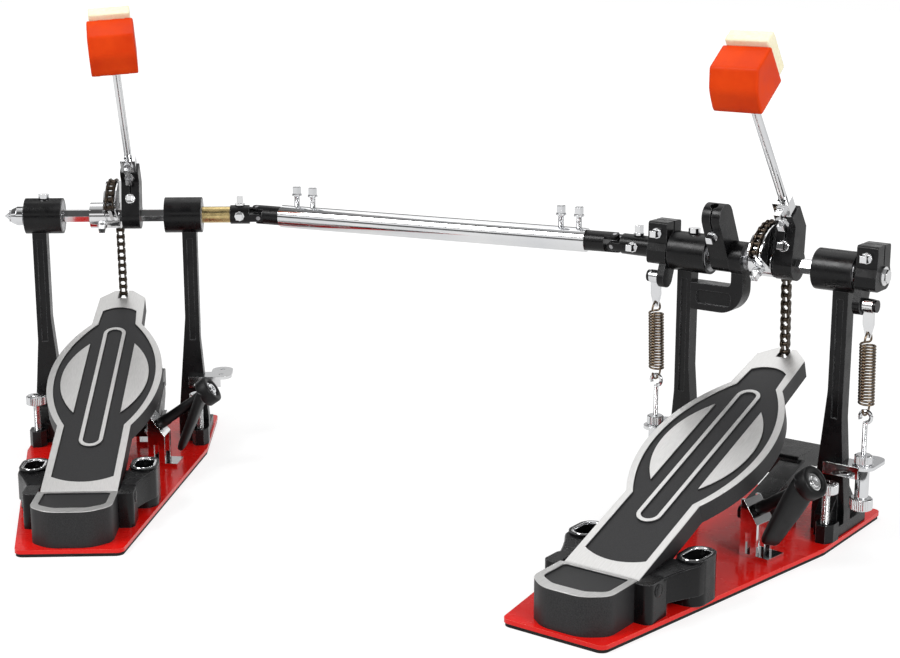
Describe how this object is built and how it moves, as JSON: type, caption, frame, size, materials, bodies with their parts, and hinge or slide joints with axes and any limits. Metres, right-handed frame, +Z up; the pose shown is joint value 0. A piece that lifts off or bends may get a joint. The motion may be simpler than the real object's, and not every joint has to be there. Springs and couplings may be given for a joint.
{
  "type": "double bass drum pedal",
  "caption": "Twin foot pedals for a bass drum, each with a chain-driven beater axle, joined by a drive shaft with universal joints so both feet play one drum.",
  "frame": {"origin": "on the floor under the middle of the main pedal's axle", "axes": "+X along the main axle to the drummer's right, +Y towards the drum, +Z up"},
  "size_m": [0.7258, 0.4474, 0.3782],
  "materials": {
    "red_paint": "glossy metallic red paint",
    "black_paint": "satin black coat on castings",
    "board_metal": "polished rims over a black textured field",
    "chrome": "polished",
    "bearing_steel": "ground",
    "chain_steel": "oiled dark steel",
    "spring_steel": "warm grey wire",
    "head_plastic": "semi-gloss orange-red",
    "felt": "pressed felt",
    "black_rubber": "matte",
    "brass": "satin",
    "black_plastic": "matte"
  },
  "bodies": {
    "frame": {"main_base_plate": "red_paint", "slave_base_plate": "red_paint", "rubber_mats": "black_rubber", "heel_plates": "board_metal", "hinge_blocks": "black_paint", "main_posts": "black_paint", "slave_posts": "black_paint", "outrigger_bracket": "black_paint", "axle_bearings": "bearing_steel", "frame_fasteners": "chrome", "frame_brackets": "chrome", "spring_tensioners": "chrome", "spur_screws": "chrome"},
    "main_axle": {"main_axle": "chrome", "main_sprocket": "chrome", "main_beater_hub": "black_paint", "main_key_screws": "chrome", "main_beater_rod": "chrome", "main_beater_head": "head_plastic", "main_beater_felt": "felt", "main_chain_wrap": "chain_steel", "main_spring_lever": "black_paint"},
    "slave_axle": {"slave_axle": "chrome", "slave_sprocket": "chrome", "slave_beater_hub": "black_paint", "slave_key_screws": "chrome", "slave_beater_rod": "chrome", "slave_beater_head": "head_plastic", "slave_beater_felt": "felt", "slave_chain_wrap": "chain_steel", "slave_axle_yoke": "black_paint", "slave_spacer": "brass"},
    "output_axle": {"output_axle": "chrome", "second_beater_hub": "black_paint", "output_spring_lever": "black_paint", "output_key_screws": "chrome", "output_axle_yoke": "black_paint"},
    "drive_shaft": {"shaft_yokes": "black_paint", "drive_tube": "chrome", "drive_tube_screws": "chrome"},
    "left_cross": {"left_cross": "bearing_steel"},
    "right_cross": {"right_cross": "bearing_steel"},
    "main_footboard": {"main_footboard": "board_metal"},
    "main_link_a": {"main_chain_link_a": "chain_steel"},
    "main_link_b": {"main_chain_link_b": "chain_steel"},
    "main_link_c": {"main_chain_link_c": "chain_steel"},
    "main_chain_run": {"main_chain_run": "chain_steel"},
    "main_jaw": {"main_clamp_jaw": "black_paint"},
    "main_bolt": {"main_clamp_bolt": "black_plastic"},
    "slave_footboard": {"slave_footboard": "board_metal"},
    "slave_link_a": {"slave_chain_link_a": "chain_steel"},
    "slave_link_b": {"slave_chain_link_b": "chain_steel"},
    "slave_link_c": {"slave_chain_link_c": "chain_steel"},
    "slave_chain_run": {"slave_chain_run": "chain_steel"},
    "slave_jaw": {"slave_clamp_jaw": "black_paint"},
    "slave_bolt": {"slave_clamp_bolt": "black_plastic"},
    "main_hanger": {"main_spring_hanger": "chrome"},
    "main_spring": {"main_spring": "spring_steel"},
    "output_hanger": {"output_spring_hanger": "chrome"},
    "output_spring": {"output_spring": "spring_steel"}
  },
  "joints": [
    {"name": "main_axle_turn", "type": "hinge", "parent": "frame", "child": "main_axle", "pos_m": [0, 0, 0.2], "axis": [-1, 0, 0], "range_deg": [0, 35.89], "stiffness_Nm_per_rad": 0.8, "springref_deg": -14.32},
    {"name": "main_footboard_tip", "type": "hinge", "parent": "frame", "child": "main_footboard", "pos_m": [0, -0.226, 0.0265], "axis": [-1, 0, 0], "range_deg": [0, 3.83]},
    {"name": "main_chain_pin_c", "type": "hinge", "parent": "main_axle", "child": "main_link_c", "pos_m": [0, 0.02128, 0.21874], "axis": [-1, 0, 0], "range_deg": [-6.45, 0]},
    {"name": "main_chain_pin_b", "type": "hinge", "parent": "main_link_c", "child": "main_link_b", "pos_m": [0, 0.02492, 0.21354], "axis": [-1, 0, 0], "range_deg": [-12.88, 0]},
    {"name": "main_chain_pin_a", "type": "hinge", "parent": "main_link_b", "child": "main_link_a", "pos_m": [0, 0.0273, 0.20765], "axis": [-1, 0, 0], "range_deg": [-12.88, 0]},
    {"name": "main_chain_pin_run", "type": "hinge", "parent": "main_link_a", "child": "main_chain_run", "pos_m": [0, 0.02832, 0.20139], "axis": [-1, 0, 0], "range_deg": [-6.45, 0]},
    {"name": "main_jaw_tip", "type": "hinge", "parent": "frame", "child": "main_jaw", "pos_m": [0, -0.02, 0.025], "axis": [-1, 0, 0], "range_deg": [0, 12]},
    {"name": "main_bolt_turn", "type": "hinge", "parent": "frame", "child": "main_bolt", "pos_m": [0.042, -0.079, 0.039], "axis": [0.8112, -0.114, 0.5736], "range_deg": [-30, 30]},
    {"name": "slave_axle_turn", "type": "hinge", "parent": "frame", "child": "slave_axle", "pos_m": [-0.5341, -0.1442, 0.2], "axis": [-0.7793, -0.6266, 0], "range_deg": [0, 35.89], "stiffness_Nm_per_rad": 0.8, "springref_deg": -14.32},
    {"name": "slave_footboard_tip", "type": "hinge", "parent": "frame", "child": "slave_footboard", "pos_m": [-0.39249, -0.32033, 0.0265], "axis": [-0.7793, -0.6266, 0], "range_deg": [0, 3.83]},
    {"name": "slave_chain_pin_c", "type": "hinge", "parent": "slave_axle", "child": "slave_link_c", "pos_m": [-0.54743, -0.12762, 0.21874], "axis": [-0.7793, -0.6266, 0], "range_deg": [-6.45, 0]},
    {"name": "slave_chain_pin_b", "type": "hinge", "parent": "slave_link_c", "child": "slave_link_b", "pos_m": [-0.54971, -0.12478, 0.21354], "axis": [-0.7793, -0.6266, 0], "range_deg": [-12.88, 0]},
    {"name": "slave_chain_pin_a", "type": "hinge", "parent": "slave_link_b", "child": "slave_link_a", "pos_m": [-0.55121, -0.12292, 0.20765], "axis": [-0.7793, -0.6266, 0], "range_deg": [-12.88, 0]},
    {"name": "slave_chain_pin_run", "type": "hinge", "parent": "slave_link_a", "child": "slave_chain_run", "pos_m": [-0.55185, -0.12213, 0.20139], "axis": [-0.7793, -0.6266, 0], "range_deg": [-6.45, 0]},
    {"name": "slave_jaw_tip", "type": "hinge", "parent": "frame", "child": "slave_jaw", "pos_m": [-0.52157, -0.15979, 0.025], "axis": [-0.7793, -0.6266, 0], "range_deg": [0, 12]},
    {"name": "slave_bolt_turn", "type": "hinge", "parent": "frame", "child": "slave_bolt", "pos_m": [-0.45187, -0.17945, 0.039], "axis": [0.7036, 0.4194, 0.5736], "range_deg": [-30, 30]},
    {"name": "drive_shaft_turn", "type": "hinge", "parent": "frame", "child": "drive_shaft", "pos_m": [-0.43925, -0.06794, 0.2], "axis": [-0.9771, -0.2126, 0], "range_deg": [0, 39.82]},
    {"name": "output_axle_turn", "type": "hinge", "parent": "frame", "child": "output_axle", "pos_m": [-0.127, 0, 0.2], "axis": [-1, 0, 0], "range_deg": [0, 38.98]},
    {"name": "left_cross_tilt", "type": "hinge", "parent": "slave_axle", "child": "left_cross", "pos_m": [-0.43925, -0.06794, 0.2], "axis": [-0.5961, 0.7414, 0.3081], "range_deg": [0, 17.51]},
    {"name": "right_cross_tilt", "type": "hinge", "parent": "output_axle", "child": "right_cross", "pos_m": [-0.127, 0, 0.2], "axis": [0, 0.9428, 0.3335], "range_deg": [-8.32, 0]},
    {"name": "main_hanger_turn", "type": "hinge", "parent": "main_axle", "child": "main_hanger", "pos_m": [0.086, -0.00788, 0.17946], "axis": [-1, 0, 0], "range_deg": [-42.21, 0]},
    {"name": "main_spring_stretch", "type": "slide", "parent": "main_hanger", "child": "main_spring", "axis": [0, 0.0598, -0.9982], "range_m": [0, 0.00971], "deforming": ["main_spring"]},
    {"name": "output_hanger_turn", "type": "hinge", "parent": "output_axle", "child": "output_hanger", "pos_m": [-0.086, -0.00788, 0.17946], "axis": [-1, 0, 0], "range_deg": [-45.55, 0]},
    {"name": "output_spring_stretch", "type": "slide", "parent": "output_hanger", "child": "output_spring", "axis": [0, 0.0598, -0.9982], "range_m": [0, 0.0108], "deforming": ["output_spring"]}
  ],
  "couplings": [
    {"joint": "main_footboard_tip", "follows": "main_axle_turn", "ratio": 0.1061},
    {"joint": "main_chain_pin_c", "follows": "main_axle_turn", "ratio": -0.1791},
    {"joint": "main_chain_pin_b", "follows": "main_axle_turn", "ratio": -0.35819},
    {"joint": "main_chain_pin_a", "follows": "main_axle_turn", "ratio": -0.35819},
    {"joint": "main_chain_pin_run", "follows": "main_axle_turn", "ratio": -0.1791},
    {"joint": "slave_footboard_tip", "follows": "slave_axle_turn", "ratio": 0.1061},
    {"joint": "slave_chain_pin_c", "follows": "slave_axle_turn", "ratio": -0.1791},
    {"joint": "slave_chain_pin_b", "follows": "slave_axle_turn", "ratio": -0.35819},
    {"joint": "slave_chain_pin_a", "follows": "slave_axle_turn", "ratio": -0.35819},
    {"joint": "slave_chain_pin_run", "follows": "slave_axle_turn", "ratio": -0.1791},
    {"joint": "drive_shaft_turn", "follows": "slave_axle_turn", "ratio": 1.1088},
    {"joint": "output_axle_turn", "follows": "slave_axle_turn", "ratio": 1.0854},
    {"joint": "left_cross_tilt", "follows": "slave_axle_turn", "ratio": 0.48718},
    {"joint": "right_cross_tilt", "follows": "slave_axle_turn", "ratio": -0.23124},
    {"joint": "main_hanger_turn", "follows": "main_axle_turn", "ratio": -1.1755},
    {"joint": "main_spring_stretch", "follows": "main_axle_turn", "m_per_rad": 0.015467},
    {"joint": "output_hanger_turn", "follows": "slave_axle_turn", "ratio": -1.2684},
    {"joint": "output_spring_stretch", "follows": "slave_axle_turn", "m_per_rad": 0.017212}
  ]
}
